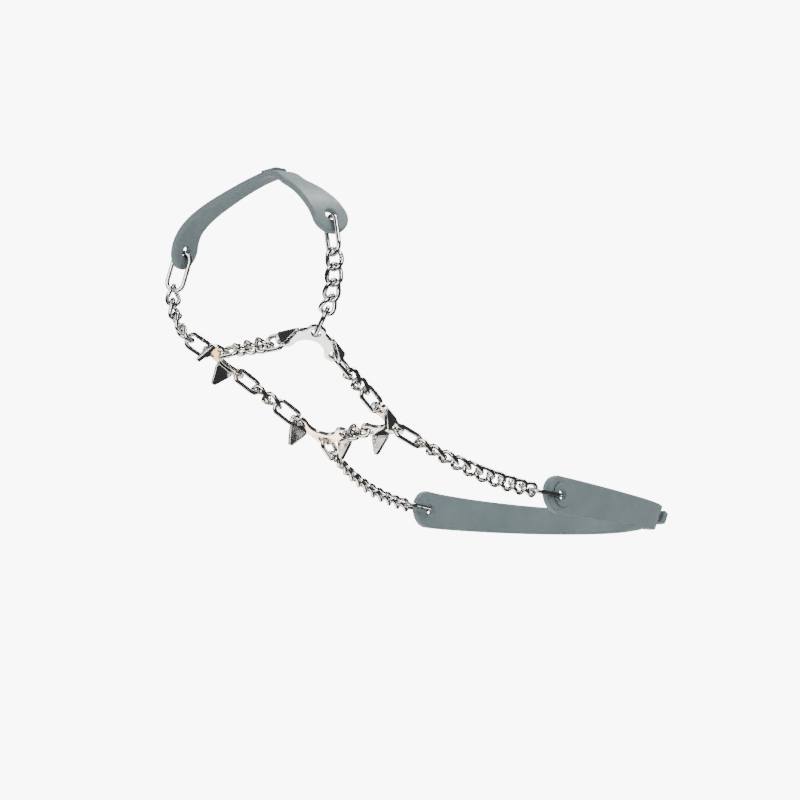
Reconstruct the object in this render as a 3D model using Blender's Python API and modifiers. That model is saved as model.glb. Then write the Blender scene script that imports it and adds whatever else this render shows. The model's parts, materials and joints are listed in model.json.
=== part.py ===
"""Shoe ice cleats: four spiked plates under the sole, joined by chains to a toe strap and a heel strap.

+X points to the toe, +Y to the wearer's left and +Z up. The origin is under the middle of the foot, on the
plane of the sole that the rear plates bear on. The harness has the shape that it takes when it is worn.
"""

import cmath
import math
from collections import namedtuple

import bmesh
import bpy
from mathutils import Matrix, Vector

MM = 0.001
PLAY = 0.3 * MM  # clearance between pieces that touch

# chain links, measured on the wire's centre line: whole length, radius of each bow, and twist between the bows
Link = namedtuple("Link", "length bow twist")
WIRE = 1.9 * MM
HOOK = WIRE + PLAY  # distance between the wires of two links that pull on each other
CURB = Link(8.5 * MM, 2.8 * MM, math.radians(90))
MEDIUM = Link(10.5 * MM, 3.0 * MM, 0.0)
LONG = Link(13.0 * MM, 3.0 * MM, 0.0)
STRAP_LINK = Link(16.9 * MM, 3.6 * MM, 0.0)
BOW_STEPS = 6

# the runs of chain: from the plates outwards, from the rear plates to the front ones, and from left to right
TOE_RISER = [LONG] + [CURB] * 4 + [STRAP_LINK]
HEEL_CHAIN = [LONG] + [CURB] * 10 + [STRAP_LINK]
SIDE_CHAIN = [LONG] + [CURB] * 2 + [LONG]
FRONT_CROSS = [MEDIUM] + [CURB] * 3 + [MEDIUM]
REAR_CROSS = [CURB] * 2

# spiked plates: an eyelet at the apex and one at the end of each arm
PLATE = 1.8 * MM
EYELET = 4.0 * MM
EYELET_HOLE = 2.0 * MM
ARM = 14.0 * MM
ARM_ANGLE = math.radians(48)  # between each arm and the plate's own axis
WEB_OUTSIDE = 3.5 * MM  # distance of the outer edge from the line through two eyelets
TOOTH_EDGE = 4.3 * MM
TOOTH_AT = 0.77 * ARM  # middle of a tooth's root, along the arm
TOOTH_ROOT = 8.0 * MM
TOOTH_TIP = 1.8 * MM
TOOTH_LENGTH = 9.5 * MM
TOOTH_SLOPE = math.radians(11)  # how far a tooth leans out
TOOTH_STEP = 0.5 * MM  # how far its root stands out from the plate's edge and under its top
FRONT_HEADING = math.radians(33)  # the apex points outwards and this far forwards
FRONT_TILT = math.radians(17)  # the outer side is higher, as the sole's edge is
REAR_HEADING = math.radians(-53)

# straps
STRAP = 2.8 * MM
STRAP_HOLE = 2.3 * MM
TOE_HOLE = Vector((57.9, 44.5, 38.0)) * MM
TOE_SIDE = Vector((63.2, 37.0, 45.9)) * MM
TOE_SHOULDER = Vector((64.2, 21.8, 55.6)) * MM
TOE_TOP = Vector((61.5, 0.0, 67.0)) * MM
TOE_BULGE = Vector((0.18, 0.9, -0.38))  # the way that the riser bows out round the shoe
TOE_LOBE = 8.0 * MM
TOE_LEAN = 28.0 * MM  # turns the strap's outer face forwards, as the shoe's toe slopes
TOE_NECK = 4.2 * MM  # half the strap's width on top of the toe
TOE_PAD = Vector((3.5, 5.0, 0.7)) * MM  # half the pad across the strap, half along it, and its height
HEEL_HOLE = Vector((-118.2, 39.9, 19.6)) * MM
HEEL_BACK = Vector((-215.0, 0.0, 74.0)) * MM
HEEL_CORNER = HEEL_BACK + Vector((0.0, 28.5, -4.0)) * MM  # pulls the strap's curve out round the heel
HEEL_BULGE = Vector((0, 0.5, -0.87))
HEEL_LOBE = 8.5 * MM
HEEL_AHEAD = 1.8 * MM  # from the hole to the middle of the lobe, towards the toe
HEEL_NECK = 6.2 * MM
HEEL_BOSS = 5.4 * MM
HEEL_BOSS_HEIGHT = 0.4 * MM
HEEL_TAB = Vector((12.0, 3.3, 1.4)) * MM  # half the pull tab's length, half its height, and its thickness

EYELETS = ((0, 1), (ARM, 1), (ARM, -1))  # distance along an arm, and the arm's side
CROSS_EYELET = {"front": (ARM, 1), "rear": (ARM, -1)}
SIDE_EYELET = {"front": (ARM, -1), "rear": (ARM, 1)}
LEFT, RIGHT = 1, -1
SIDES = {"left": LEFT, "right": RIGHT}


def clear_scene():
    for item in list(bpy.data.objects):
        bpy.data.objects.remove(item)


def new_collection(name):
    made = bpy.data.collections.new(name)
    bpy.context.scene.collection.children.link(made)
    return made


def new_material(name, colour, metallic, roughness):
    made = bpy.data.materials.new(name)
    made.use_nodes = True
    shader = made.node_tree.nodes["Principled BSDF"]
    shader.inputs["Base Color"].default_value = (*colour, 1.0)
    shader.inputs["Metallic"].default_value = metallic
    shader.inputs["Roughness"].default_value = roughness
    return made


def mirrored(vector, side):
    return Vector((vector.x, vector.y * side, vector.z))


def square_to(vector, direction):
    """The part of a vector that is at right angles to a direction, with length 1."""
    return (vector - direction * vector.dot(direction)).normalized()


def placed(origin, x_axis, y_axis):
    """A matrix with this origin, X along x_axis and Y along y_axis, which is square to it."""
    axes = Matrix((x_axis, y_axis, x_axis.cross(y_axis))).transposed()
    return Matrix.Translation(origin) @ axes.to_4x4()


def arc(centre, radius, first, last, steps):
    """Points of an arc from one angle to another, both in degrees, ends included."""
    found = []
    for step in range(steps + 1):
        angle = math.radians(first + (last - first) * step / steps)
        found.append((centre[0] + radius * math.cos(angle), centre[1] + radius * math.sin(angle)))
    return found


def prism(name, outlines, low, high, collection, material):
    """A flat solid between two heights. The first outline is its edge and the others are holes."""
    curve = bpy.data.curves.new(name, "CURVE")
    curve.dimensions = "2D"
    curve.fill_mode = "BOTH"
    curve.extrude = (high - low) / 2
    for outline in outlines:
        spline = curve.splines.new("POLY")
        spline.points.add(len(outline) - 1)
        spline.use_cyclic_u = True
        for point, (x, y) in zip(spline.points, outline):
            point.co = (x, y, 0, 1)
    drawn = bpy.data.objects.new(name + ".outline", curve)
    drawn.location.z = (low + high) / 2
    bpy.context.scene.collection.objects.link(drawn)
    bpy.context.view_layer.update()
    evaluated = drawn.evaluated_get(bpy.context.evaluated_depsgraph_get())
    mesh = bpy.data.meshes.new_from_object(evaluated)
    mesh.transform(drawn.matrix_world)
    bpy.data.objects.remove(drawn)
    return solid_object(name, mesh, collection, material)


def solid_object(name, mesh, collection, material):
    """A mesh object whose loose caps are welded."""
    work = bmesh.new()
    work.from_mesh(mesh)
    bmesh.ops.remove_doubles(work, verts=work.verts, dist=0.000001)
    bmesh.ops.recalc_face_normals(work, faces=work.faces)
    work.to_mesh(mesh)
    work.free()
    mesh.materials.clear()
    mesh.materials.append(material)
    made = bpy.data.objects.new(name, mesh)
    collection.objects.link(made)
    return made


def combine(target, tool, operation):
    """Adds a Boolean modifier and hides its tool."""
    tool.hide_render = True
    tool.display_type = "WIRE"
    modifier = target.modifiers.new(tool.name, "BOOLEAN")
    modifier.operation = operation
    modifier.solver = "EXACT"
    modifier.object = tool


# ---------------------------------------------------------------- chain


def link_curve(link, material):
    """One closed link of bent wire along +X, with its origin where the link before it pulls.

    Its first bow lies in the XY plane, and its last is turned by the twist.
    """
    start = -HOOK / 2
    first, last = start + link.bow, start + link.length - link.bow
    flat = arc((last, 0), link.bow, 90, -90, BOW_STEPS) + arc((first, 0), link.bow, -90, -270, BOW_STEPS)
    curve = bpy.data.curves.new("link", "CURVE")
    curve.dimensions = "3D"
    curve.bevel_depth = WIRE / 2
    curve.bevel_resolution = 1
    spline = curve.splines.new("POLY")
    spline.points.add(len(flat) - 1)
    spline.use_cyclic_u = True
    for point, (x, y) in zip(spline.points, flat):
        turn = link.twist * (x - start) / link.length
        point.co = (x, y * math.cos(turn), y * math.sin(turn), 1)
    curve.materials.append(material)
    return curve


def plate_pull(hole, normal, way, link):
    """Where a link that leaves a plate's eyelet in this direction has its pivot.

    Its bow goes round the eyelet's rim, with the clearance at the corner of the rim.
    """
    rim = (EYELET + EYELET_HOLE) / 2
    slack = link.bow - WIRE / 2 - PLAY - math.hypot(EYELET - rim, PLATE / 2)
    return hole + square_to(way, normal) * rim + way * (slack - link.bow + HOOK / 2)


def strap_pull(hole, way, link):
    """Where the link that ends in a strap's hole has its last pivot."""
    inside = link.bow - WIRE / 2 - PLAY
    return hole - way * (STRAP_HOLE - link.bow + math.sqrt(inside**2 - (STRAP / 2) ** 2) + HOOK / 2)


def steps(links):
    """Distances between the pivots of a run."""
    return [link.length - HOOK for link in links]


def bowed_path(start, end, lengths, bulge):
    """Corners of a polyline with these lengths between two points, bent evenly out towards bulge."""
    chord = end - start
    low, high = 0.0, math.pi / len(lengths)
    for _ in range(60):
        turn = (low + high) / 2
        flat = [0j]
        for number, length in enumerate(lengths):
            flat.append(flat[-1] + cmath.rect(length, -turn * number))
        if abs(flat[-1]) > chord.length:
            low = turn
        else:
            high = turn
    along = chord.normalized()
    across = square_to(bulge, along)
    corners = [corner * abs(flat[-1]) / flat[-1] for corner in flat]
    return [start + along * corner.real + across * corner.imag for corner in corners]


def riser_path(hole, normal, far_hole, links, bulge):
    """Pivots of a run from a plate to a strap. Its two ends turn with the run, so they are found in rounds."""
    first = last = (far_hole - hole).normalized()
    for _ in range(12):
        start = plate_pull(hole, normal, first, links[0])
        path = bowed_path(start, strap_pull(far_hole, last, links[-1]), steps(links), bulge)
        first, last = (path[1] - path[0]).normalized(), (path[-1] - path[-2]).normalized()
    return path


def straight_path(start, end, links):
    way = (end - start).normalized()
    corners = [start]
    for step in steps(links):
        corners.append(corners[-1] + way * step)
    return corners


def link_frames(corners, links, first_normal, last_normal):
    """A matrix for each link of a run whose end links stand square to the sheets that they pass through.

    Each link crosses the next at a right angle, plus an equal share of what is left over along the run.
    """
    ways = [(b - a).normalized() for a, b in zip(corners, corners[1:])]
    normals = [square_to(first_normal, ways[0])]
    for before, after in zip(ways, ways[1:]):
        normals.append(square_to(before.rotation_difference(after) @ normals[-1], after))
    target = square_to(last_normal, ways[-1])
    left = math.atan2(ways[-1].dot(normals[-1].cross(target)), normals[-1].dot(target))
    left -= sum(link.twist for link in links) + math.radians(90) * (len(links) - 1)
    share = (left % math.pi - math.pi) / (len(links) + 1)
    roll, frames = share, []
    for corner, way, normal, link in zip(corners, ways, normals, links):
        frames.append(placed(corner, way, normal * math.cos(roll) + way.cross(normal) * math.sin(roll)))
        roll += link.twist + math.radians(90) + share
    return frames


def hang(made, axis_point, pivots):
    """Puts an object under an empty on its joint's axis, and leaves it where it is."""
    pivot = bpy.data.objects.new(f"{made.name}_pivot", None)
    pivot.location = axis_point
    pivots.objects.link(pivot)
    made.parent = pivot
    made.matrix_parent_inverse = Matrix.Translation(-axis_point)


def hang_links(name, links, frames, curves, collection, pivots):
    for number, (link, frame) in enumerate(zip(links, frames), 1):
        made = bpy.data.objects.new(f"{name}_{number}", curves[link])
        collection.objects.link(made)
        made.matrix_world = frame
        hang(made, frame.translation, pivots)


# ---------------------------------------------------------------- plates


def arm_point(along, outside, side):
    """A point beside the arm towards +X or -X: its distance along the arm and out from it."""
    x = along * math.sin(ARM_ANGLE) + outside * math.cos(ARM_ANGLE)
    y = -along * math.cos(ARM_ANGLE) + outside * math.sin(ARM_ANGLE)
    return (x * side, y)


def plate_outline():
    """The edge of a plate with its apex eyelet at the origin, and the apex pointing along +Y."""
    eye = arm_point(ARM, 0, 1)
    shoulder = TOOTH_ROOT / 2 + 0.3 * MM
    root = (TOOTH_AT - shoulder, TOOTH_AT + shoulder)
    half = arc((0, 0), EYELET, 90, 8, 5)
    half.append(arm_point(0.3 * ARM, WEB_OUTSIDE - 0.3 * MM, 1))
    half.append(arm_point(root[0] - 0.8 * MM, WEB_OUTSIDE + 0.3 * MM, 1))
    half.append(arm_point(root[0], TOOTH_EDGE, 1))
    half.append(arm_point(root[1], TOOTH_EDGE, 1))
    half += arc(eye, EYELET, 28, -170, 12)
    rise = EYELET + 0.8 * MM  # the inner edge is an arc that passes this far below the apex
    inner = half[-1]
    sag = -rise - inner[1]
    radius = (inner[0] ** 2 + sag**2) / (2 * sag)
    reach = math.degrees(math.asin(inner[0] / radius))
    half += arc((0, -rise - radius), radius, 90 - reach, 90, 5)[1:]
    return half + [(-x, y) for x, y in reversed(half[1:-1])]


def circle(centre, radius, steps):
    return arc(centre, radius, 0, 360, steps)[:-1]


def spiked_plate(name, frame, collection, tools, material):
    """A flat plate with two teeth bent down from its outer edges. Its top lies against the sole."""
    holes = [circle(arm_point(along, 0, side), EYELET_HOLE, 16) for along, side in EYELETS]
    outlines = [plate_outline()] + holes
    plate = prism(name, outlines, -PLATE, 0, collection, material)
    plate.matrix_world = frame
    half_root, half_tip = TOOTH_ROOT / 2, TOOTH_TIP / 2
    shape = [(-half_root, 0), (half_root, 0), (half_root, -PLATE), (half_tip, -TOOTH_LENGTH)]
    shape += [(-half_tip, -TOOTH_LENGTH), (-half_root, -PLATE)]
    down = Vector((0, 0, -1))
    for word, side in SIDES.items():
        tooth = prism(f"{name}_{word}_tooth", [shape], -PLATE, 0, tools, material)
        x, y = arm_point(TOOTH_AT, TOOTH_EDGE + TOOTH_STEP, side)
        out = Vector((math.cos(ARM_ANGLE) * side, math.sin(ARM_ANGLE), 0))
        up = -down * math.cos(TOOTH_SLOPE) - out * math.sin(TOOTH_SLOPE)
        face = out * math.cos(TOOTH_SLOPE) - down * math.sin(TOOTH_SLOPE)
        root = Vector((x, y, -TOOTH_STEP))
        tooth.matrix_world = frame @ placed(root, up.cross(face), up)
        combine(plate, tooth, "UNION")
    return plate


def plate_frame(origin, heading, tilt):
    """The matrix of a left plate, whose apex points outwards. Its arm towards +X is the forward one."""
    return Matrix.Translation(origin) @ Matrix.Rotation(tilt, 4, "X") @ Matrix.Rotation(-heading, 4, "Z")


def swapped(frame, side):
    """The matrix of the same plate on this side of the foot. Its two arms swap over."""
    if side == LEFT:
        return frame
    return Matrix.Scale(-1, 4, Vector((0, 1, 0))) @ frame @ Matrix.Scale(-1, 4, Vector((1, 0, 0)))


def facing(frame):
    return frame.to_3x3() @ Vector((0, 0, 1))


def eyelet(frame, along, side):
    """The centre of an eyelet, halfway through the plate."""
    x, y = arm_point(along, 0, side)
    return frame @ Vector((x, y, -PLATE / 2))


# ---------------------------------------------------------------- straps


def bezier(points, t):
    a, b, c, d = points
    return a * (1 - t) ** 3 + b * 3 * t * (1 - t) ** 2 + c * 3 * t**2 * (1 - t) + d * t**3


def smooth_line(points, first_way, last_way, count):
    """Points of a smooth line through the given ones, with these directions at its two ends."""
    ways = [first_way * (points[1] - points[0]).length]
    ways += [(after - before) / 2 for before, after in zip(points, points[2:])]
    ways.append(last_way * (points[-1] - points[-2]).length)
    found = [points[0]]
    for start, end, leaving, arriving in zip(points, points[1:], ways, ways[1:]):
        controls = (start, start + leaving / 3, end - arriving / 3, end)
        found += [bezier(controls, step / count) for step in range(1, count + 1)]
    return found


def half_strap_rows(line, way, lobe, neck, narrowed):
    """(centre, half width) pairs of the left half of a strap, from the end of its lobe to its middle.

    The strap has narrowed to its neck when it is this part of the way from the hole to the middle.
    """
    found = []
    for step in range(5):
        angle = math.radians(80 - 20 * step)
        found.append((line[0] - way * lobe * math.sin(angle), lobe * math.cos(angle)))
    length = sum((after - before).length for before, after in zip(line, line[1:]))
    done = 0.0
    for before, after in zip(line, line[1:]):
        done += (after - before).length
        wide = max(0.0, 1 - done / (length * narrowed)) ** 1.3
        found.append((after, neck + (lobe - neck) * wide))
    return found


def strap_mesh(name, rows, outward, columns):
    """An open sheet through rows of (centre, half width), from the left end to the right end."""
    centres = [centre for centre, _ in rows]
    vertices, faces = [], []
    for number, (centre, half) in enumerate(rows):
        before, after = centres[max(number - 1, 0)], centres[min(number + 1, len(rows) - 1)]
        way = (after - before).normalized()
        across = way.cross(square_to(outward(centre, way), way))
        vertices += [centre + across * half * (2 * c / columns - 1) for c in range(columns + 1)]
    wide = columns + 1
    for row in range(len(rows) - 1):
        for c in range(columns):
            first = row * wide + c
            faces.append((first, first + 1, first + 1 + wide, first + wide))
    mesh = bpy.data.meshes.new(name)
    mesh.from_pydata(vertices, [], faces)
    return mesh


def round_solid(name, frame, radius, low, high, steps, collection, material):
    made = prism(name, [circle((0, 0), radius, steps)], low, high, collection, material)
    made.matrix_world = frame
    return made


def strap(name, left_rows, outward, collection, material):
    """A band of even thickness, made of its left half and the mirror image, with a hole in each lobe."""
    right_rows = [(mirrored(centre, RIGHT), half) for centre, half in reversed(left_rows[:-1])]
    mesh = strap_mesh(name, left_rows + right_rows, outward, 4)
    mesh.materials.append(material)
    made = bpy.data.objects.new(name, mesh)
    collection.objects.link(made)
    solidify = made.modifiers.new("thickness", "SOLIDIFY")
    solidify.thickness = STRAP
    solidify.offset = 0
    solidify.use_even_offset = True
    return made


def toe_outward(centre, way):
    """Away from a line along the foot inside the shoe's toe, and forwards."""
    return Vector((TOE_LEAN, centre.y, centre.z - 0.5 * TOE_HOLE.z))


def heel_outward(centre, way):
    return way.cross(Vector((0, 0, 1)))


def strap_ends(target, hole, way, outward, boss, tools, material):
    """Cuts the hole for the strap link in each lobe, and adds the boss round it if there is one."""
    for word, side in SIDES.items():
        along = mirrored(way, side)
        out = mirrored(square_to(outward(hole, way), way), side)
        frame = placed(mirrored(hole, side), along, out.cross(along))
        if boss:
            ring = round_solid(f"{target.name}_boss_{word}", frame, boss, 0,
                               STRAP / 2 + HEEL_BOSS_HEIGHT, 20, tools, material)
            combine(target, ring, "UNION")
        drill = round_solid(f"{target.name}_hole_{word}", frame, STRAP_HOLE, -2 * STRAP,
                            2 * STRAP, 16, tools, material)
        combine(target, drill, "DIFFERENCE")


def pad_frame():
    """The middle of the toe strap, with Z out of its outer face."""
    out = toe_outward(TOE_TOP, Vector((0, -1, 0))).normalized()
    return placed(TOE_TOP, Vector((0, 1, 0)).cross(out), Vector((0, 1, 0)))


def rounded_block(name, half_x, half_y, low, high, frame, collection, material):
    """A low block with rounded corners, for a pad or a tab."""
    corner = 0.4 * min(half_x, half_y)
    outline = []
    for turn in range(4):
        x = (half_x - corner) * (1 if turn in (0, 3) else -1)
        y = (half_y - corner) * (1 if turn in (0, 1) else -1)
        outline += arc((x, y), corner, 90 * turn, 90 * turn + 90, 4)
    made = prism(name, [outline], low, high, collection, material)
    made.matrix_world = frame
    return made


# ---------------------------------------------------------------- the object


def place_plates():
    """Matrices of the left plates. The cross chains and the side chains between the plates are straight."""
    frames = {}
    reach = sum(steps(SIDE_CHAIN))
    for row, x, heading, tilt, links in (("front", reach, FRONT_HEADING, FRONT_TILT, FRONT_CROSS),
                                         ("rear", -reach, REAR_HEADING, 0.0, REAR_CROSS)):
        turned = plate_frame(Vector(), heading, tilt)
        pull = plate_pull(eyelet(turned, *CROSS_EYELET[row]), facing(turned), Vector((0, -1, 0)), links[0])
        frames[row] = plate_frame(Vector((x, sum(steps(links)) / 2 - pull.y, 0)), heading, tilt)

    middle = {row: sum((eyelet(frames[row], *spot) for spot in EYELETS), Vector()) / 3 for row in frames}
    frames["front"].translation.z += middle["rear"].z - middle["front"].z
    for _ in range(20):
        start, end = side_pulls(frames)
        short, centre = reach - (start - end).length, (start.x + end.x) / 2
        frames["front"].translation.x += short / 2 - centre
        frames["rear"].translation.x -= short / 2 + centre
    return frames


def side_pulls(frames):
    """The first and last pivots of the left side chain, which runs forwards."""
    rear, front = (eyelet(frames[row], *SIDE_EYELET[row]) for row in ("rear", "front"))
    way = (front - rear).normalized()
    start = plate_pull(rear, facing(frames["rear"]), way, SIDE_CHAIN[0])
    return start, plate_pull(front, facing(frames["front"]), -way, SIDE_CHAIN[-1])


def cross_path(frame, spot, links):
    start = plate_pull(eyelet(frame, *spot), facing(frame), Vector((0, -1, 0)), links[0])
    return straight_path(start, mirrored(start, RIGHT), links)


def end_way(path):
    return (path[-1] - path[-2]).normalized()


def toe_strap_band(link_way, collection, tools, material):
    """The strap leaves its holes in the plane that the links pass through, but not straight on from the links."""
    way = square_to(TOE_SIDE - TOE_HOLE, square_to(toe_outward(TOE_HOLE, link_way), link_way))
    line = smooth_line((TOE_HOLE, TOE_SIDE, TOE_SHOULDER, TOE_TOP), way, Vector((0, -1, 0)), 5)
    rows = half_strap_rows(line, way, TOE_LOBE, TOE_NECK, 1.0)
    band = strap("toe_strap", rows, toe_outward, collection, material)
    strap_ends(band, TOE_HOLE, way, toe_outward, None, tools, material)
    top = pad_frame()
    pad = rounded_block("toe_pad", TOE_PAD.x, TOE_PAD.y, 0, STRAP / 2 + TOE_PAD.z, top, tools, material)
    combine(band, pad, "UNION")
    return band


def heel_strap_band(way, collection, tools, material):
    controls = (HEEL_HOLE - way * HEEL_AHEAD, HEEL_HOLE + way * 18 * MM, HEEL_CORNER, HEEL_BACK)
    line = [bezier(controls, step / 24) for step in range(25)]
    rows = half_strap_rows(line, way, HEEL_LOBE, HEEL_NECK, 0.8)
    band = strap("heel_strap", rows, heel_outward, collection, material)
    strap_ends(band, HEEL_HOLE, way, heel_outward, HEEL_BOSS, tools, material)
    back = placed(HEEL_BACK, Vector((0, 0, 1)), Vector((0, 1, 0)))
    tab = rounded_block("heel_tab", HEEL_TAB.y, HEEL_TAB.x, 0, STRAP / 2 + HEEL_TAB.z, back, tools, material)
    combine(band, tab, "UNION")
    return band


def main():
    clear_scene()
    pieces = new_collection("shoe_ice_cleats")
    tools = new_collection("cutters")
    pivots = new_collection("pivots")
    rubber = new_material("strap_rubber", (0.2, 0.23, 0.225), 0.0, 0.6)
    plate_steel = new_material("plate_steel", (0.72, 0.71, 0.68), 1.0, 0.25)
    link_steel = new_material("link_steel", (0.62, 0.61, 0.59), 1.0, 0.2)

    frames = place_plates()
    front, rear = frames["front"], frames["rear"]
    straight = straight_path(*side_pulls(frames), SIDE_CHAIN)
    for word, side in SIDES.items():
        for row, frame in frames.items():
            name = f"spike_plate_{row}_{word}"
            plate = spiked_plate(name, swapped(frame, side), pieces, tools, plate_steel)
            if row == "front":
                hang(plate, mirrored(straight[-1], side), pivots)

    toe_path = riser_path(eyelet(front, 0, 1), facing(front), TOE_HOLE, TOE_RISER, TOE_BULGE)
    heel_path = riser_path(eyelet(rear, 0, 1), facing(rear), HEEL_HOLE, HEEL_CHAIN, HEEL_BULGE)
    toe_way, heel_way = end_way(toe_path), end_way(heel_path)
    curves = {link: link_curve(link, link_steel) for link in (CURB, MEDIUM, LONG, STRAP_LINK)}
    for word, side in SIDES.items():
        for name, links, path, first, last in (
            ("toe_riser", TOE_RISER, toe_path, facing(front), toe_outward(TOE_HOLE, toe_way)),
            ("heel_chain", HEEL_CHAIN, heel_path, facing(rear), heel_outward(HEEL_HOLE, heel_way)),
            ("side_chain", SIDE_CHAIN, straight, facing(rear), facing(front)),
        ):
            corners = [mirrored(corner, side) for corner in path]
            matrices = link_frames(corners, links, mirrored(first, side), mirrored(last, side))
            hang_links(f"{name}_{word}", links, matrices, curves, pieces, pivots)
    for name, links, row in (("front_cross", FRONT_CROSS, "front"), ("rear_cross", REAR_CROSS, "rear")):
        corners = cross_path(frames[row], CROSS_EYELET[row], links)
        normal = facing(frames[row])
        matrices = link_frames(corners, links, normal, mirrored(normal, RIGHT))
        hang_links(name, links, matrices, curves, pieces, pivots)

    hang(toe_strap_band(toe_way, pieces, tools, rubber), toe_path[-1], pivots)
    hang(heel_strap_band(heel_way, pieces, tools, rubber), heel_path[-1], pivots)


main()
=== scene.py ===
"""Shoe ice cleats: polished steel plates and chain, and matte rubber straps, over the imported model."""

import cmath
import json
import math
from collections import namedtuple

import bmesh
import bpy
from mathutils import Matrix, Vector


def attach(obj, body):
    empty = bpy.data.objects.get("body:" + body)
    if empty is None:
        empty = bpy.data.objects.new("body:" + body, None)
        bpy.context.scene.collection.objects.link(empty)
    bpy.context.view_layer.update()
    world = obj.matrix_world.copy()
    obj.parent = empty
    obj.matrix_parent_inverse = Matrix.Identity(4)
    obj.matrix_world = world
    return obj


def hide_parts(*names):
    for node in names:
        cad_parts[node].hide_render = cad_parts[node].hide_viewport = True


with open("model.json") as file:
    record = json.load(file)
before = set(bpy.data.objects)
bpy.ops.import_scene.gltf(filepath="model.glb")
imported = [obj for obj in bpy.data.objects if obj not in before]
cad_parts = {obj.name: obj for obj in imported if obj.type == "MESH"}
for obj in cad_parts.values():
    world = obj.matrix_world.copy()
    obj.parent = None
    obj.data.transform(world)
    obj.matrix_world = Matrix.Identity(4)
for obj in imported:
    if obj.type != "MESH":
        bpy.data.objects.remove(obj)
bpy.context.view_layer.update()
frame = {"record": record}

MM = 0.001
PLAY = 0.3 * MM
WELD = 0.000002  # vertices closer than this are one
CUT_WELD = 0.000001

# ---------------------------------------------------------------- the design, as the CAD model has it

Link = namedtuple("Link", "length bow twist")
WIRE = 1.9 * MM
HOOK = WIRE + PLAY
CURB = Link(8.5 * MM, 2.8 * MM, math.radians(90))
MEDIUM = Link(10.5 * MM, 3.0 * MM, 0.0)
LONG = Link(13.0 * MM, 3.0 * MM, 0.0)
STRAP_LINK = Link(16.9 * MM, 3.6 * MM, 0.0)
TOE_RISER = [LONG] + [CURB] * 4 + [STRAP_LINK]
HEEL_CHAIN = [LONG] + [CURB] * 10 + [STRAP_LINK]
SIDE_CHAIN = [LONG] + [CURB] * 2 + [LONG]
FRONT_CROSS = [MEDIUM] + [CURB] * 3 + [MEDIUM]
REAR_CROSS = [CURB] * 2

PLATE = 1.8 * MM
EYELET = 4.0 * MM
EYELET_HOLE = 2.0 * MM
ARM = 14.0 * MM
ARM_ANGLE = math.radians(48)
TOOTH_AT = 0.77 * ARM
TOOTH_SLOPE = math.radians(11)
TOOTH_DROP = 9.8 * MM
FRONT_HEADING = math.radians(33)
FRONT_TILT = math.radians(17)
REAR_HEADING = math.radians(-53)

STRAP = 2.8 * MM
STRAP_HOLE = 2.3 * MM
TOE_HOLE = Vector((57.9, 44.5, 38.0)) * MM
TOE_SIDE = Vector((63.2, 37.0, 45.9)) * MM
TOE_SHOULDER = Vector((64.2, 21.8, 55.6)) * MM
TOE_TOP = Vector((61.5, 0.0, 67.0)) * MM
TOE_BULGE = Vector((0.18, 0.9, -0.38))
TOE_LOBE = 8.0 * MM
TOE_LEAN = 28.0 * MM
TOE_NECK = 4.2 * MM
TOE_PAD = Vector((3.5, 5.0, 0.7)) * MM
HEEL_HOLE = Vector((-118.2, 39.9, 19.6)) * MM
HEEL_BACK = Vector((-215.0, 0.0, 74.0)) * MM
HEEL_CORNER = HEEL_BACK + Vector((0.0, 28.5, -4.0)) * MM
HEEL_BULGE = Vector((0, 0.5, -0.87))
HEEL_LOBE = 8.5 * MM
HEEL_AHEAD = 1.8 * MM
HEEL_NECK = 6.2 * MM
HEEL_BOSS = 5.4 * MM
HEEL_BOSS_HEIGHT = 0.4 * MM
HEEL_TAB = Vector((12.0, 3.3, 1.4)) * MM

EYELETS = ((0, 1), (ARM, 1), (ARM, -1))
CROSS_EYELET = {"front": (ARM, 1), "rear": (ARM, -1)}
SIDE_EYELET = {"front": (ARM, -1), "rear": (ARM, 1)}
LEFT, RIGHT = 1, -1
SIDES = {"left": LEFT, "right": RIGHT}


def mirrored(vector, side):
    return Vector((vector.x, vector.y * side, vector.z))


def square_to(vector, direction):
    """The unit vector nearest to a vector at a right angle to a direction."""
    return (vector - direction * vector.dot(direction)).normalized()


def placed(origin, x_axis, y_axis):
    axes = Matrix((x_axis, y_axis, x_axis.cross(y_axis))).transposed()
    return Matrix.Translation(origin) @ axes.to_4x4()


def arc(centre, radius, first, last, steps):
    found = []
    for step in range(steps + 1):
        angle = math.radians(first + (last - first) * step / steps)
        found.append((centre[0] + radius * math.cos(angle), centre[1] + radius * math.sin(angle)))
    return found


def arm_point(along, outside, side):
    x = along * math.sin(ARM_ANGLE) + outside * math.cos(ARM_ANGLE)
    y = -along * math.cos(ARM_ANGLE) + outside * math.sin(ARM_ANGLE)
    return (x * side, y)


def plate_frame(origin, heading, tilt):
    return Matrix.Translation(origin) @ Matrix.Rotation(tilt, 4, "X") @ Matrix.Rotation(-heading, 4, "Z")


def swapped(matrix, side):
    if side == LEFT:
        return matrix
    return Matrix.Scale(-1, 4, Vector((0, 1, 0))) @ matrix @ Matrix.Scale(-1, 4, Vector((1, 0, 0)))


def facing(matrix):
    return matrix.to_3x3() @ Vector((0, 0, 1))


def eyelet(matrix, along, side):
    x, y = arm_point(along, 0, side)
    return matrix @ Vector((x, y, -PLATE / 2))


def plate_pull(hole, normal, way, link):
    """Where the end link's hook centre lies when it pulls on a plate's eyelet."""
    rim = (EYELET + EYELET_HOLE) / 2
    slack = link.bow - WIRE / 2 - PLAY - math.hypot(EYELET - rim, PLATE / 2)
    return hole + square_to(way, normal) * rim + way * (slack - link.bow + HOOK / 2)


def strap_pull(hole, way, link):
    """Where the end link's hook centre lies when it pulls on a strap's hole."""
    inside = link.bow - WIRE / 2 - PLAY
    return hole - way * (STRAP_HOLE - link.bow + math.sqrt(inside**2 - (STRAP / 2) ** 2) + HOOK / 2)


def steps(links):
    return [link.length - HOOK for link in links]


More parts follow.
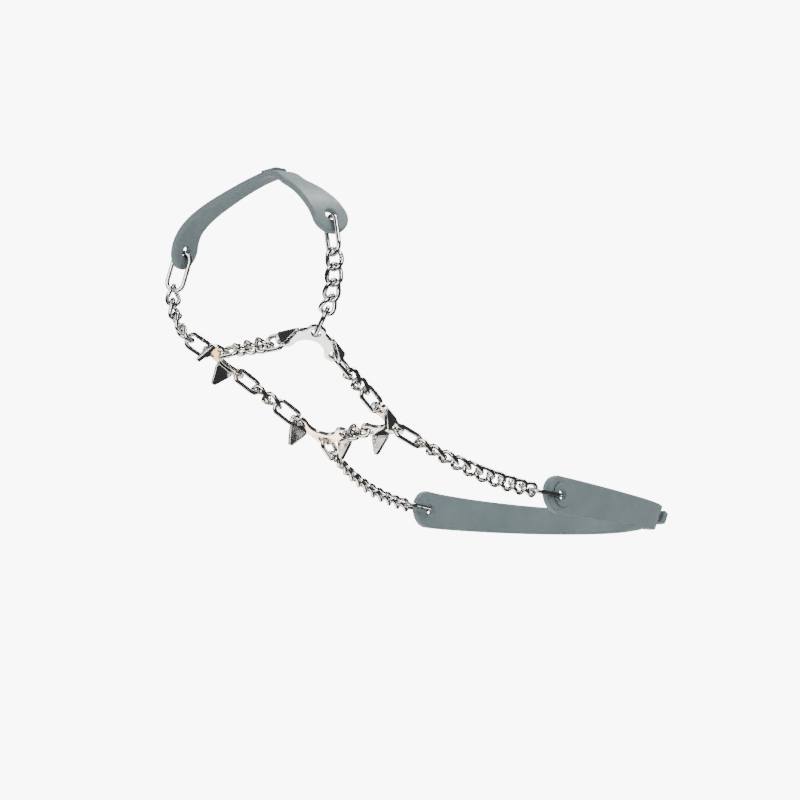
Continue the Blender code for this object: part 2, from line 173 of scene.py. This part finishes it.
def bowed_path(start, end, lengths, bulge):
    """Corners of a run of links that bows out evenly between two points."""
    chord = end - start
    low, high = 0.0, math.pi / len(lengths)
    for _ in range(60):
        turn = (low + high) / 2
        flat = [0j]
        for number, length in enumerate(lengths):
            flat.append(flat[-1] + cmath.rect(length, -turn * number))
        if abs(flat[-1]) > chord.length:
            low = turn
        else:
            high = turn
    along = chord.normalized()
    across = square_to(bulge, along)
    corners = [corner * abs(flat[-1]) / flat[-1] for corner in flat]
    return [start + along * corner.real + across * corner.imag for corner in corners]


def riser_path(hole, normal, far_hole, links, bulge):
    """Pivots of a run from a plate to a strap, found in rounds."""
    first = last = (far_hole - hole).normalized()
    for _ in range(12):
        start = plate_pull(hole, normal, first, links[0])
        path = bowed_path(start, strap_pull(far_hole, last, links[-1]), steps(links), bulge)
        first, last = (path[1] - path[0]).normalized(), (path[-1] - path[-2]).normalized()
    return path


def straight_path(start, end, links):
    way = (end - start).normalized()
    corners = [start]
    for step in steps(links):
        corners.append(corners[-1] + way * step)
    return corners


def link_frames(corners, links, first_normal, last_normal):
    """A frame for each link. Neighbours lie square to each other, and the odd twist is shared out."""
    ways = [(b - a).normalized() for a, b in zip(corners, corners[1:])]
    normals = [square_to(first_normal, ways[0])]
    for before, after in zip(ways, ways[1:]):
        normals.append(square_to(before.rotation_difference(after) @ normals[-1], after))
    target = square_to(last_normal, ways[-1])
    left = math.atan2(ways[-1].dot(normals[-1].cross(target)), normals[-1].dot(target))
    left -= sum(link.twist for link in links) + math.radians(90) * (len(links) - 1)
    share = (left % math.pi - math.pi) / (len(links) + 1)
    roll, frames = share, []
    for corner, way, normal, link in zip(corners, ways, normals, links):
        frames.append(placed(corner, way, normal * math.cos(roll) + way.cross(normal) * math.sin(roll)))
        roll += link.twist + math.radians(90) + share
    return frames


def side_pulls(frames):
    rear, front = (eyelet(frames[row], *SIDE_EYELET[row]) for row in ("rear", "front"))
    way = (front - rear).normalized()
    start = plate_pull(rear, facing(frames["rear"]), way, SIDE_CHAIN[0])
    return start, plate_pull(front, facing(frames["front"]), -way, SIDE_CHAIN[-1])


def place_plates():
    """Places of the left front and left rear plates, spaced by the taut side and cross chains."""
    frames = {}
    reach = sum(steps(SIDE_CHAIN))
    for row, x, heading, tilt, links in (("front", reach, FRONT_HEADING, FRONT_TILT, FRONT_CROSS),
                                         ("rear", -reach, REAR_HEADING, 0.0, REAR_CROSS)):
        turned = plate_frame(Vector(), heading, tilt)
        pull = plate_pull(eyelet(turned, *CROSS_EYELET[row]), facing(turned), Vector((0, -1, 0)), links[0])
        frames[row] = plate_frame(Vector((x, sum(steps(links)) / 2 - pull.y, 0)), heading, tilt)
    middle = {row: sum((eyelet(frames[row], *spot) for spot in EYELETS), Vector()) / 3 for row in frames}
    frames["front"].translation.z += middle["rear"].z - middle["front"].z
    for _ in range(20):
        start, end = side_pulls(frames)
        short, centre = reach - (start - end).length, (start.x + end.x) / 2
        frames["front"].translation.x += short / 2 - centre
        frames["rear"].translation.x -= short / 2 + centre
    return frames


def end_way(path):
    return (path[-1] - path[-2]).normalized()


def toe_outward(centre, way):
    return Vector((TOE_LEAN, centre.y, centre.z - 0.5 * TOE_HOLE.z))


def heel_outward(centre, way):
    return way.cross(Vector((0, 0, 1)))


def bezier(points, t):
    a, b, c, d = points
    return a * (1 - t) ** 3 + b * 3 * t * (1 - t) ** 2 + c * 3 * t**2 * (1 - t) + d * t**3


def smooth_line(points, first_way, last_way, count):
    ways = [first_way * (points[1] - points[0]).length]
    ways += [(after - before) / 2 for before, after in zip(points, points[2:])]
    ways.append(last_way * (points[-1] - points[-2]).length)
    found = [points[0]]
    for start, end, leaving, arriving in zip(points, points[1:], ways, ways[1:]):
        controls = (start, start + leaving / 3, end - arriving / 3, end)
        found += [bezier(controls, step / count) for step in range(1, count + 1)]
    return found


# ---------------------------------------------------------------- fine shapes


def finished(mesh, material, sharp=35):
    """Welds a mesh, turns its faces outwards and shades it smooth up to an angle."""
    work = bmesh.new()
    work.from_mesh(mesh)
    bmesh.ops.remove_doubles(work, verts=work.verts, dist=WELD)
    bmesh.ops.recalc_face_normals(work, faces=work.faces)
    work.to_mesh(mesh)
    work.free()
    mesh.shade_smooth()
    mesh.set_sharp_from_angle(angle=math.radians(sharp))
    mesh.materials.clear()
    mesh.materials.append(material)
    return mesh


def curve_mesh(curve):
    drawn = bpy.data.objects.new("drawn", curve)
    bpy.context.scene.collection.objects.link(drawn)
    bpy.context.view_layer.update()
    mesh = bpy.data.meshes.new_from_object(drawn.evaluated_get(bpy.context.evaluated_depsgraph_get()))
    bpy.data.objects.remove(drawn)
    return mesh


def link_mesh(link, material):
    """One link of bent wire, closed by a weld that stands out a little in the middle of one side."""
    start = -HOOK / 2
    first, last = start + link.bow, start + link.length - link.bow
    sides = 10
    flat = []
    for step in range(sides):
        flat.append((first + (last - first) * step / sides, link.bow))
    flat += arc((last, 0), link.bow, 90, -90, 18)
    for step in range(1, sides):
        flat.append((last + (first - last) * step / sides, -link.bow))
    flat += arc((first, 0), link.bow, -90, -270, 18)[:-1]
    curve = bpy.data.curves.new("link", "CURVE")
    curve.dimensions = "3D"
    curve.bevel_depth = WIRE / 2
    curve.bevel_resolution = 6
    spline = curve.splines.new("POLY")
    spline.points.add(len(flat) - 1)
    spline.use_cyclic_u = True
    weld = (first + last) / 2
    for point, (x, y) in zip(spline.points, flat):
        turn = link.twist * (x - start) / link.length
        point.co = (x, y * math.cos(turn), y * math.sin(turn), 1)
        near = math.exp(-(((x - weld) / (0.7 * MM)) ** 2)) if y >= link.bow * 0.999 else 0.0
        point.radius = 1 + 0.1 * near
    return finished(curve_mesh(curve), material, 60)


def flat_sheet(outlines, low, high, rounding, cuts, moved):
    """A sheet with rounded edges between two heights, cut along planes and then bent point by point.

    The first outline runs anticlockwise. The others are holes, drawn anticlockwise too.
    """
    curve = bpy.data.curves.new("sheet", "CURVE")
    curve.dimensions = "2D"
    curve.fill_mode = "BOTH"
    curve.extrude = (high - low) / 2 - rounding
    curve.bevel_depth = rounding
    curve.bevel_resolution = 3
    curve.offset = -rounding
    for number, outline in enumerate(outlines):
        drawn = outline if number == 0 else list(reversed(outline))
        spline = curve.splines.new("POLY")
        spline.points.add(len(drawn) - 1)
        spline.use_cyclic_u = True
        for point, (x, y) in zip(spline.points, drawn):
            point.co = (x, y, 0, 1)
    mesh = curve_mesh(curve)
    work = bmesh.new()
    work.from_mesh(mesh)
    bmesh.ops.remove_doubles(work, verts=work.verts, dist=WELD)
    for point, normal in cuts:
        everything = work.verts[:] + work.edges[:] + work.faces[:]
        bmesh.ops.bisect_plane(work, geom=everything, plane_co=point, plane_no=normal, dist=CUT_WELD)
    for vertex in work.verts:
        vertex.co = moved(vertex.co.x, vertex.co.y, vertex.co.z + (low + high) / 2)
    work.to_mesh(mesh)
    work.free()
    return mesh


def joined(meshes):
    work = bmesh.new()
    for mesh in meshes:
        work.from_mesh(mesh)
    work.to_mesh(meshes[0])
    work.free()
    return meshes[0]


BEND_FROM = 3.0 * MM  # from an arm's middle line to where its tooth starts to bend
BEND_RADIUS = 1.2 * MM
BEND = math.radians(90) - TOOTH_SLOPE
BEND_CUTS = 15
BEND_CUT_STEP = 0.15 * MM
PLATE_ROUNDING = 0.25 * MM


def plate_outline():
    """The edge of a plate's flat blank: its two teeth lie in its plane, as they do before they are bent."""
    drop = TOOTH_DROP - PLATE / 2 - BEND_RADIUS * (1 - math.cos(BEND))
    tip = BEND_FROM + BEND_RADIUS * BEND + drop / math.sin(BEND)
    eye = arm_point(ARM, 0, 1)
    half = arc((0, 0), EYELET, 90, 8, 12)
    for along, outside in ((0.27 * ARM, 3.25 * MM), (0.33 * ARM, 3.2 * MM), (0.40 * ARM, 3.3 * MM),
                           (TOOTH_AT - 4.6 * MM, 3.7 * MM), (TOOTH_AT - 4.15 * MM, 4.6 * MM),
                           (TOOTH_AT - 3.9 * MM, 6.0 * MM), (TOOTH_AT - 1.0 * MM, tip - 0.5 * MM),
                           (TOOTH_AT - 0.6 * MM, tip), (TOOTH_AT + 0.6 * MM, tip),
                           (TOOTH_AT + 1.0 * MM, tip - 0.5 * MM), (TOOTH_AT + 3.9 * MM, 6.0 * MM),
                           (TOOTH_AT + 4.15 * MM, 4.6 * MM)):
        half.append(arm_point(along, outside, 1))
    half += arc(eye, EYELET, 26, -170, 24)
    rise = EYELET + 0.8 * MM
    inner = half[-1]
    sag = -rise - inner[1]
    radius = (inner[0] ** 2 + sag**2) / (2 * sag)
    reach = math.degrees(math.asin(inner[0] / radius))
    half += arc((0, -rise - radius), radius, 90 - reach, 90, 14)[1:]
    outline = half + [(-x, y) for x, y in reversed(half[1:-1])]
    return list(reversed(outline))


def bent_tooth(x, y, z):
    """Where a point of the blank goes when the teeth are bent down."""
    side = 1 if x > 0 else -1
    along = x * side * math.sin(ARM_ANGLE) - y * math.cos(ARM_ANGLE)
    outside = x * side * math.cos(ARM_ANGLE) + y * math.sin(ARM_ANGLE)
    if outside <= BEND_FROM or along < 0.3 * ARM:
        return Vector((x, y, z))
    height = z + PLATE / 2
    run = outside - BEND_FROM
    angle = min(run / BEND_RADIUS, BEND)
    past = run - angle * BEND_RADIUS
    outside = BEND_FROM + (BEND_RADIUS + height) * math.sin(angle) + past * math.cos(angle)
    z = (BEND_RADIUS + height) * math.cos(angle) - BEND_RADIUS - PLATE / 2 - past * math.sin(angle)
    x, y = arm_point(along, outside, side)
    return Vector((x, y, z))


def plate_mesh(material):
    circles = [arc(arm_point(along, 0, side), EYELET_HOLE, 0, 360, 32)[:-1] for along, side in EYELETS]
    cuts = []
    for side in (LEFT, RIGHT):
        normal = Vector((*arm_point(0, 1, side), 0))
        for step in range(BEND_CUTS):
            point = Vector((*arm_point(0, BEND_FROM + step * BEND_CUT_STEP, side), 0))
            cuts.append((point, normal))
    mesh = flat_sheet([plate_outline()] + circles, -PLATE, 0, PLATE_ROUNDING, cuts, bent_tooth)
    return finished(mesh, material, 30)


BAND_CUT_STEP = 1.2 * MM
BAND_SPOTS = 120  # points along each long edge


class Band:
    """A strap's centre line, from its left hole to its right one, with its width at each point."""

    def __init__(self, left_line, lobe, neck, narrowed, outward):
        self.line = left_line + [mirrored(point, RIGHT) for point in reversed(left_line[:-1])]
        self.at = [0.0]
        for before, after in zip(self.line, self.line[1:]):
            self.at.append(self.at[-1] + (after - before).length)
        self.length = self.at[-1]
        self.lobe, self.neck, self.narrowed, self.outward = lobe, neck, narrowed, outward

    def half_width(self, distance):
        inward = min(distance, self.length - distance) / (self.length / 2)
        return self.neck + (self.lobe - self.neck) * max(0.0, 1 - inward / self.narrowed) ** 1.3

    def point(self, distance):
        """The centre line's point at a distance from the left hole. Past a hole it is straight."""
        if distance <= 0:
            return self.line[0] + (self.line[1] - self.line[0]).normalized() * distance
        if distance >= self.length:
            return self.line[-1] + end_way(self.line) * (distance - self.length)
        number = next(n for n, at in enumerate(self.at) if at >= distance)
        part = (distance - self.at[number - 1]) / (self.at[number] - self.at[number - 1])
        return self.line[number - 1].lerp(self.line[number], part)

    def matrix(self, distance):
        """A frame whose X is along the strap, Y across it and Z out of its outer face."""
        step = 1.5 * MM
        way = (self.point(distance + step) - self.point(distance - step)).normalized()
        centre = (self.point(distance + step) + self.point(distance - step)) / 2
        out = square_to(self.outward(centre, way), way)
        return placed(self.point(distance), way, out.cross(way))

    def outline(self):
        edge = arc((0, 0), self.lobe, 90, 270, 32)
        spots = [self.length * step / BAND_SPOTS for step in range(1, BAND_SPOTS)]
        edge += [(spot, -self.half_width(spot)) for spot in spots]
        edge += arc((self.length, 0), self.lobe, -90, 90, 32)
        edge += [(spot, self.half_width(spot)) for spot in reversed(spots)]
        return edge

    def sheet(self, outlines, low, high, rounding):
        """A sheet on the strap, drawn flat and then laid along its centre line."""
        first = min(x for x, _ in outlines[0])
        last = max(x for x, _ in outlines[0])
        count = max(2, round((last - first) / BAND_CUT_STEP))
        cuts = [(Vector((first + (last - first) * step / count, 0, 0)), Vector((1, 0, 0)))
                for step in range(1, count)]
        found = {}

        def laid(x, y, z):
            key = round(x * 1e6)
            if key not in found:
                found[key] = self.matrix(x)
            return found[key] @ Vector((0, y, z))

        return flat_sheet(outlines, low, high, rounding, cuts, laid)


def rounded_outline(half_x, half_y, corner):
    outline = []
    for turn in range(4):
        x = (half_x - corner) * (1 if turn in (0, 3) else -1)
        y = (half_y - corner) * (1 if turn in (0, 1) else -1)
        outline += arc((x, y), corner, 90 * turn, 90 * turn + 90, 8)
    return outline


# ---------------------------------------------------------------- materials


def shader_of(name):
    made = bpy.data.materials.new(name)
    made.use_nodes = True
    return made, made.node_tree, made.node_tree.nodes["Principled BSDF"]


def noise(tree, coordinates, scale, detail, roughness=0.55, stretch=None):
    """A noise texture in object space, whose scale is in cells to a metre."""
    link = coordinates
    if stretch:
        mapping = tree.nodes.new("ShaderNodeMapping")
        mapping.inputs["Scale"].default_value = stretch
        tree.links.new(link, mapping.inputs["Vector"])
        link = mapping.outputs["Vector"]
    made = tree.nodes.new("ShaderNodeTexNoise")
    made.inputs["Scale"].default_value = scale
    made.inputs["Detail"].default_value = detail
    made.inputs["Roughness"].default_value = roughness
    tree.links.new(link, made.inputs["Vector"])
    return made.outputs["Fac"]


def ramp(tree, source, stops):
    made = tree.nodes.new("ShaderNodeValToRGB")
    while len(made.color_ramp.elements) < len(stops):
        made.color_ramp.elements.new(0.5)
    for element, (position, colour) in zip(made.color_ramp.elements, stops):
        element.position = position
        element.color = (*colour, 1.0) if isinstance(colour, tuple) else (colour, colour, colour, 1.0)
    tree.links.new(source, made.inputs["Fac"])
    return made.outputs["Color"]


def bump(tree, shader, heights):
    """Chains bump nodes, one for each (height, distance in metres, strength)."""
    normal = None
    for height, distance, strength in heights:
        made = tree.nodes.new("ShaderNodeBump")
        made.inputs["Distance"].default_value = distance
        made.inputs["Strength"].default_value = strength
        tree.links.new(height, made.inputs["Height"])
        if normal:
            tree.links.new(normal, made.inputs["Normal"])
        normal = made.outputs["Normal"]
    tree.links.new(normal, shader.inputs["Normal"])


def steel(name, light, dark, smooth, rough, wear):
    """Polished stainless steel with handling marks: fine scratches, dulled patches and small dents."""
    made, tree, shader = shader_of(name)
    shader.inputs["Metallic"].default_value = 1.0
    place = tree.nodes.new("ShaderNodeTexCoord").outputs["Object"]
    patches = noise(tree, place, 260, 4)
    scratches = noise(tree, place, 900, 3, 0.7, (1.0, 14.0, 1.0))
    crossing = noise(tree, place, 1100, 3, 0.7, (12.0, 1.0, 6.0))
    dents = noise(tree, place, 520, 2)
    tree.links.new(ramp(tree, patches, ((0.3, dark), (0.62, light))), shader.inputs["Base Color"])
    dull = tree.nodes.new("ShaderNodeMix")
    dull.data_type = "FLOAT"
    dull.inputs[0].default_value = 0.45
    tree.links.new(patches, dull.inputs[2])
    tree.links.new(scratches, dull.inputs[3])
    tree.links.new(ramp(tree, dull.outputs[0], ((0.32, smooth), (0.68, rough))), shader.inputs["Roughness"])
    bump(tree, shader, ((dents, 0.00012, 0.5 * wear), (scratches, 0.00003, 0.5 * wear),
                        (crossing, 0.00002, 0.5 * wear)))
    return made


def rubber(name, light, dark):
    """Matte moulded rubber: a fine grain, soft mottling, a dry bloom in patches, and painted shade in its
    creases.
    """
    made, tree, shader = shader_of(name)
    place = tree.nodes.new("ShaderNodeTexCoord").outputs["Object"]
    mottle = noise(tree, place, 70, 5)
    grain = noise(tree, place, 2600, 3, 0.6)
    flow = noise(tree, place, 420, 3, 0.6)
    # Painted shade: an ambient occlusion node darkens the base colour to near black in creases and round the
    # bosses.
    crease = tree.nodes.new("ShaderNodeAmbientOcclusion")
    crease.samples = 8
    crease.inputs["Distance"].default_value = 0.0016
    crease_shade = tree.nodes.new("ShaderNodeMix")
    crease_shade.data_type = "RGBA"
    crease_shade.inputs["A"].default_value = (0.03, 0.038, 0.04, 1.0)
    tree.links.new(ramp(tree, crease.outputs["AO"], ((0.5, 0.0), (0.92, 1.0))), crease_shade.inputs["Factor"])
    tree.links.new(ramp(tree, mottle, ((0.3, dark), (0.7, light))), crease_shade.inputs["B"])
    tree.links.new(crease_shade.outputs["Result"], shader.inputs["Base Color"])
    tree.links.new(ramp(tree, flow, ((0.3, 0.46), (0.7, 0.6))), shader.inputs["Roughness"])
    bump(tree, shader, ((flow, 0.0001, 0.25), (grain, 0.00004, 0.6)))
    shader.inputs["Specular IOR Level"].default_value = 0.45
    shader.inputs["Sheen Weight"].default_value = 0.12
    shader.inputs["Sheen Roughness"].default_value = 0.4
    return made


# ---------------------------------------------------------------- the pieces

record = frame["record"]
body_of = {node: body for body, nodes in record["behaviour"]["bodies"].items() for node in nodes}

plate_steel = steel("plate_steel", (0.84, 0.83, 0.80), (0.70, 0.69, 0.66), 0.08, 0.2, 0.5)
link_steel = steel("link_steel", (0.84, 0.83, 0.81), (0.60, 0.59, 0.57), 0.05, 0.16, 0.4)
strap_rubber = rubber("strap_rubber", (0.203, 0.262, 0.275), (0.168, 0.222, 0.235))


def add_piece(node, mesh, matrix=Matrix()):
    """Puts a fine mesh in the place of the CAD node."""
    mesh.transform(matrix)
    piece = bpy.data.objects.new(f"fine_{node}", mesh)
    bpy.context.scene.collection.objects.link(piece)
    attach(piece, body_of[node])
    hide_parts(node)


def hang(name, links, matrices, meshes):
    """Puts a run of links in place, numbered from its plate."""
    for number, (link, matrix) in enumerate(zip(links, matrices), 1):
        add_piece(f"{name}_{number}", meshes[link].copy(), matrix)


def add_plates_and_chains():
    frames = place_plates()
    front, rear = frames["front"], frames["rear"]
    blank = plate_mesh(plate_steel)
    for word, side in SIDES.items():
        for row, matrix in frames.items():
            add_piece(f"spike_plate_{row}_{word}", blank.copy(), swapped(matrix, side))

    toe_path = riser_path(eyelet(front, 0, 1), facing(front), TOE_HOLE, TOE_RISER, TOE_BULGE)
    heel_path = riser_path(eyelet(rear, 0, 1), facing(rear), HEEL_HOLE, HEEL_CHAIN, HEEL_BULGE)
    straight = straight_path(*side_pulls(frames), SIDE_CHAIN)
    toe_way, heel_way = end_way(toe_path), end_way(heel_path)
    meshes = {link: link_mesh(link, link_steel) for link in (CURB, MEDIUM, LONG, STRAP_LINK)}
    for word, side in SIDES.items():
        for name, links, path, first, last in (
            ("toe_riser", TOE_RISER, toe_path, facing(front), toe_outward(TOE_HOLE, toe_way)),
            ("heel_chain", HEEL_CHAIN, heel_path, facing(rear), heel_outward(HEEL_HOLE, heel_way)),
            ("side_chain", SIDE_CHAIN, straight, facing(rear), facing(front)),
        ):
            corners = [mirrored(corner, side) for corner in path]
            matrices = link_frames(corners, links, mirrored(first, side), mirrored(last, side))
            hang(f"{name}_{word}", links, matrices, meshes)
    for name, links, row in (("front_cross", FRONT_CROSS, "front"), ("rear_cross", REAR_CROSS, "rear")):
        matrix = frames[row]
        start = plate_pull(eyelet(matrix, *CROSS_EYELET[row]), facing(matrix), Vector((0, -1, 0)), links[0])
        corners = straight_path(start, mirrored(start, RIGHT), links)
        matrices = link_frames(corners, links, facing(matrix), mirrored(facing(matrix), RIGHT))
        hang(name, links, matrices, meshes)
    return toe_way, heel_way


def add_toe_strap(link_way):
    """The band over the toes, with its holes and the pad on top."""
    way = square_to(TOE_SIDE - TOE_HOLE, square_to(toe_outward(TOE_HOLE, link_way), link_way))
    line = smooth_line((TOE_HOLE, TOE_SIDE, TOE_SHOULDER, TOE_TOP), way, Vector((0, -1, 0)), 24)
    band = Band(line, TOE_LOBE, TOE_NECK, 1.0, toe_outward)
    holes = [arc((x, 0), STRAP_HOLE, 0, 360, 40)[:-1] for x in (0, band.length)]
    meshes = [band.sheet([band.outline()] + holes, -STRAP / 2, STRAP / 2, 0.75 * MM)]
    out = toe_outward(TOE_TOP, Vector((0, -1, 0))).normalized()
    top = placed(TOE_TOP, Vector((0, 1, 0)).cross(out), Vector((0, 1, 0)))
    edge = rounded_outline(TOE_PAD.x, TOE_PAD.y, 1.6 * MM)
    pad = flat_sheet([edge], 0, STRAP / 2 + TOE_PAD.z, 0.3 * MM, [],
                     lambda x, y, z: top @ Vector((x, y, z)))
    meshes.append(pad)
    add_piece("toe_strap", joined([finished(mesh, strap_rubber) for mesh in meshes]))


def add_heel_strap(way):
    """The band round the heel, with a boss and a rim round each hole and a tab behind."""
    controls = (HEEL_HOLE - way * HEEL_AHEAD, HEEL_HOLE + way * 18 * MM, HEEL_CORNER, HEEL_BACK)
    line = [bezier(controls, step / 80) for step in range(81)]
    band = Band(line, HEEL_LOBE, HEEL_NECK, 0.8, heel_outward)
    spots = (HEEL_AHEAD, band.length - HEEL_AHEAD)
    holes = [arc((x, 0), STRAP_HOLE, 0, 360, 40)[:-1] for x in spots]
    meshes = [band.sheet([band.outline()] + holes, -STRAP / 2, STRAP / 2, 0.8 * MM)]
    for spot, end, hole, first in zip(spots, (0, band.length), holes, (105, -75)):
        boss = arc((spot, 0), HEEL_BOSS, 0, 360, 48)[:-1]
        meshes.append(band.sheet([boss, hole], 0, STRAP / 2 + HEEL_BOSS_HEIGHT, 0.3 * MM))
        rim = arc((end, 0), HEEL_LOBE - 0.75 * MM, first, first + 150, 30)
        rim += arc((spot, 0), HEEL_BOSS + 0.8 * MM, first + 150, first, 30)
        meshes.append(band.sheet([rim], 0, STRAP / 2 + HEEL_BOSS_HEIGHT, 0.3 * MM))
    back = placed(HEEL_BACK, Vector((0, 0, 1)), Vector((0, 1, 0)))
    edge = rounded_outline(HEEL_TAB.y, HEEL_TAB.x, 1.3 * MM)
    tab = flat_sheet([edge], 0, STRAP / 2 + HEEL_TAB.z, 0.5 * MM, [],
                     lambda x, y, z: back @ Vector((x, y, z)))
    meshes.append(tab)
    add_piece("heel_strap", joined([finished(mesh, strap_rubber) for mesh in meshes]))


toe_way, heel_way = add_plates_and_chains()
add_toe_strap(toe_way)
add_heel_strap(heel_way)


# ---------------------------------------------------------------- floor, light and camera


CAMERA_PLACE = Vector((0.4964, 0.6806, -0.4485))
CAMERA_TARGET = Vector((-0.0251, 0.0266, 0.0079))
CAMERA_ROLL = math.radians(21.93)
CAMERA_LENS = 102.2
FLOOR_HEIGHT = -1.3
FLOOR_HALF = 60.0
BACKDROP = 9.0


def add_floor():
    """A wide pale floor well below the camera. The steel doesn't reflect it, so it reflects the panels."""
    mesh = bpy.data.meshes.new("floor")
    work = bmesh.new()
    bmesh.ops.create_grid(work, x_segments=2, y_segments=2, size=FLOOR_HALF)
    work.to_mesh(mesh)
    work.free()
    floor = bpy.data.objects.new("floor", mesh)
    floor.location.z = FLOOR_HEIGHT
    bpy.context.scene.collection.objects.link(floor)
    made, tree, shader = shader_of("floor")
    shader.inputs["Base Color"].default_value = (0.9, 0.9, 0.9, 1.0)
    shader.inputs["Roughness"].default_value = 0.9
    mesh.materials.append(made)
    floor.visible_glossy = False


PANELS = (  # direction, half angle in degrees, softness of its edge, colour and strength
    ((0.80, 0.36, -0.48), 24, 8, (1.0, 0.99, 0.97), 6.0),
    ((-0.5, -0.45, -0.74), 24, 10, (1.0, 1.0, 1.0), 3.6),
    ((0.70, -0.70, 0.18), 20, 10, (1.0, 1.0, 1.0), 2.6),
    ((-0.5, -0.86, -0.05), 14, 8, (1.0, 0.69, 0.30), 3.3),
    ((0.30, 0.60, 0.75), 12, 6, (1.0, 1.0, 1.0), 8.0),
    ((-0.90, 0.42, 0.10), 9, 5, (1.0, 1.0, 1.0), 4.0),
)


def add_world():
    """Pale to the camera. What the steel reflects is a dark studio with soft bright panels."""
    world = bpy.data.worlds.new("studio")
    bpy.context.scene.world = world
    world.use_nodes = True
    tree = world.node_tree
    tree.nodes.clear()
    place = tree.nodes.new("ShaderNodeTexCoord").outputs["Generated"]
    total = tree.nodes.new("ShaderNodeBackground").outputs[0]
    total.node.inputs["Color"].default_value = (0.9, 0.95, 1.0, 1.0)
    total.node.inputs["Strength"].default_value = 0.05
    for direction, half, soft, colour, strength in PANELS:
        nearness = tree.nodes.new("ShaderNodeVectorMath")
        nearness.operation = "DOT_PRODUCT"
        nearness.inputs[1].default_value = Vector(direction).normalized()
        tree.links.new(place, nearness.inputs[0])
        edge = tree.nodes.new("ShaderNodeMapRange")
        edge.interpolation_type = "SMOOTHSTEP"
        edge.inputs["From Min"].default_value = math.cos(math.radians(half + soft / 2))
        edge.inputs["From Max"].default_value = math.cos(math.radians(half - soft / 2))
        edge.inputs["To Max"].default_value = strength
        tree.links.new(nearness.outputs["Value"], edge.inputs["Value"])
        panel = tree.nodes.new("ShaderNodeBackground")
        panel.inputs["Color"].default_value = (*colour, 1.0)
        tree.links.new(edge.outputs["Result"], panel.inputs["Strength"])
        both = tree.nodes.new("ShaderNodeAddShader")
        tree.links.new(total, both.inputs[0])
        tree.links.new(panel.outputs[0], both.inputs[1])
        total = both.outputs[0]
    backdrop = tree.nodes.new("ShaderNodeBackground")
    backdrop.inputs["Color"].default_value = (1.0, 1.0, 1.0, 1.0)
    backdrop.inputs["Strength"].default_value = BACKDROP
    choice = tree.nodes.new("ShaderNodeMixShader")
    tree.links.new(tree.nodes.new("ShaderNodeLightPath").outputs["Is Camera Ray"], choice.inputs[0])
    tree.links.new(total, choice.inputs[1])
    tree.links.new(backdrop.outputs[0], choice.inputs[2])
    output = tree.nodes.new("ShaderNodeOutputWorld")
    tree.links.new(choice.outputs[0], output.inputs["Surface"])


def add_light(name, position, size, power, colour=(1.0, 1.0, 1.0), target=Vector((-0.04, 0.0, 0.02))):
    light = bpy.data.lights.new(name, "AREA")
    light.shape = "SQUARE"
    light.size = size
    light.energy = power
    light.color = colour
    made = bpy.data.objects.new(name, light)
    made.location = position
    made.rotation_euler = (target - Vector(position)).to_track_quat("-Z", "Y").to_euler()
    made.visible_camera = False
    bpy.context.scene.collection.objects.link(made)


def add_sun():
    """Even soft light from above, mostly for the floor."""
    light = bpy.data.lights.new("sky", "SUN")
    light.energy = 3.0
    light.angle = math.radians(25)
    made = bpy.data.objects.new("sky", light)
    made.location = (0, 0, 2)
    bpy.context.scene.collection.objects.link(made)


def add_camera():
    """Below the toe, to the left and in front, looking up at the sole."""
    camera = bpy.data.objects.new("camera", bpy.data.cameras.new("camera"))
    camera.data.sensor_width = 36
    camera.data.lens = CAMERA_LENS
    aim = (CAMERA_TARGET - CAMERA_PLACE).to_track_quat("-Z", "Y").to_matrix()
    roll = Matrix.Rotation(CAMERA_ROLL, 3, "Z")
    camera.matrix_world = Matrix.Translation(CAMERA_PLACE) @ (aim @ roll).to_4x4()
    bpy.context.scene.collection.objects.link(camera)
    bpy.context.scene.camera = camera


add_floor()
add_world()
add_light("key", (0.7, 1.1, 0.8), 0.4, 4)
add_sun()
add_light("warm_card", (-0.08, -0.09, -0.047), 0.04, 0.018, (1.0, 0.55, 0.16), Vector((-0.026, -0.019, 0.0)))
add_camera()
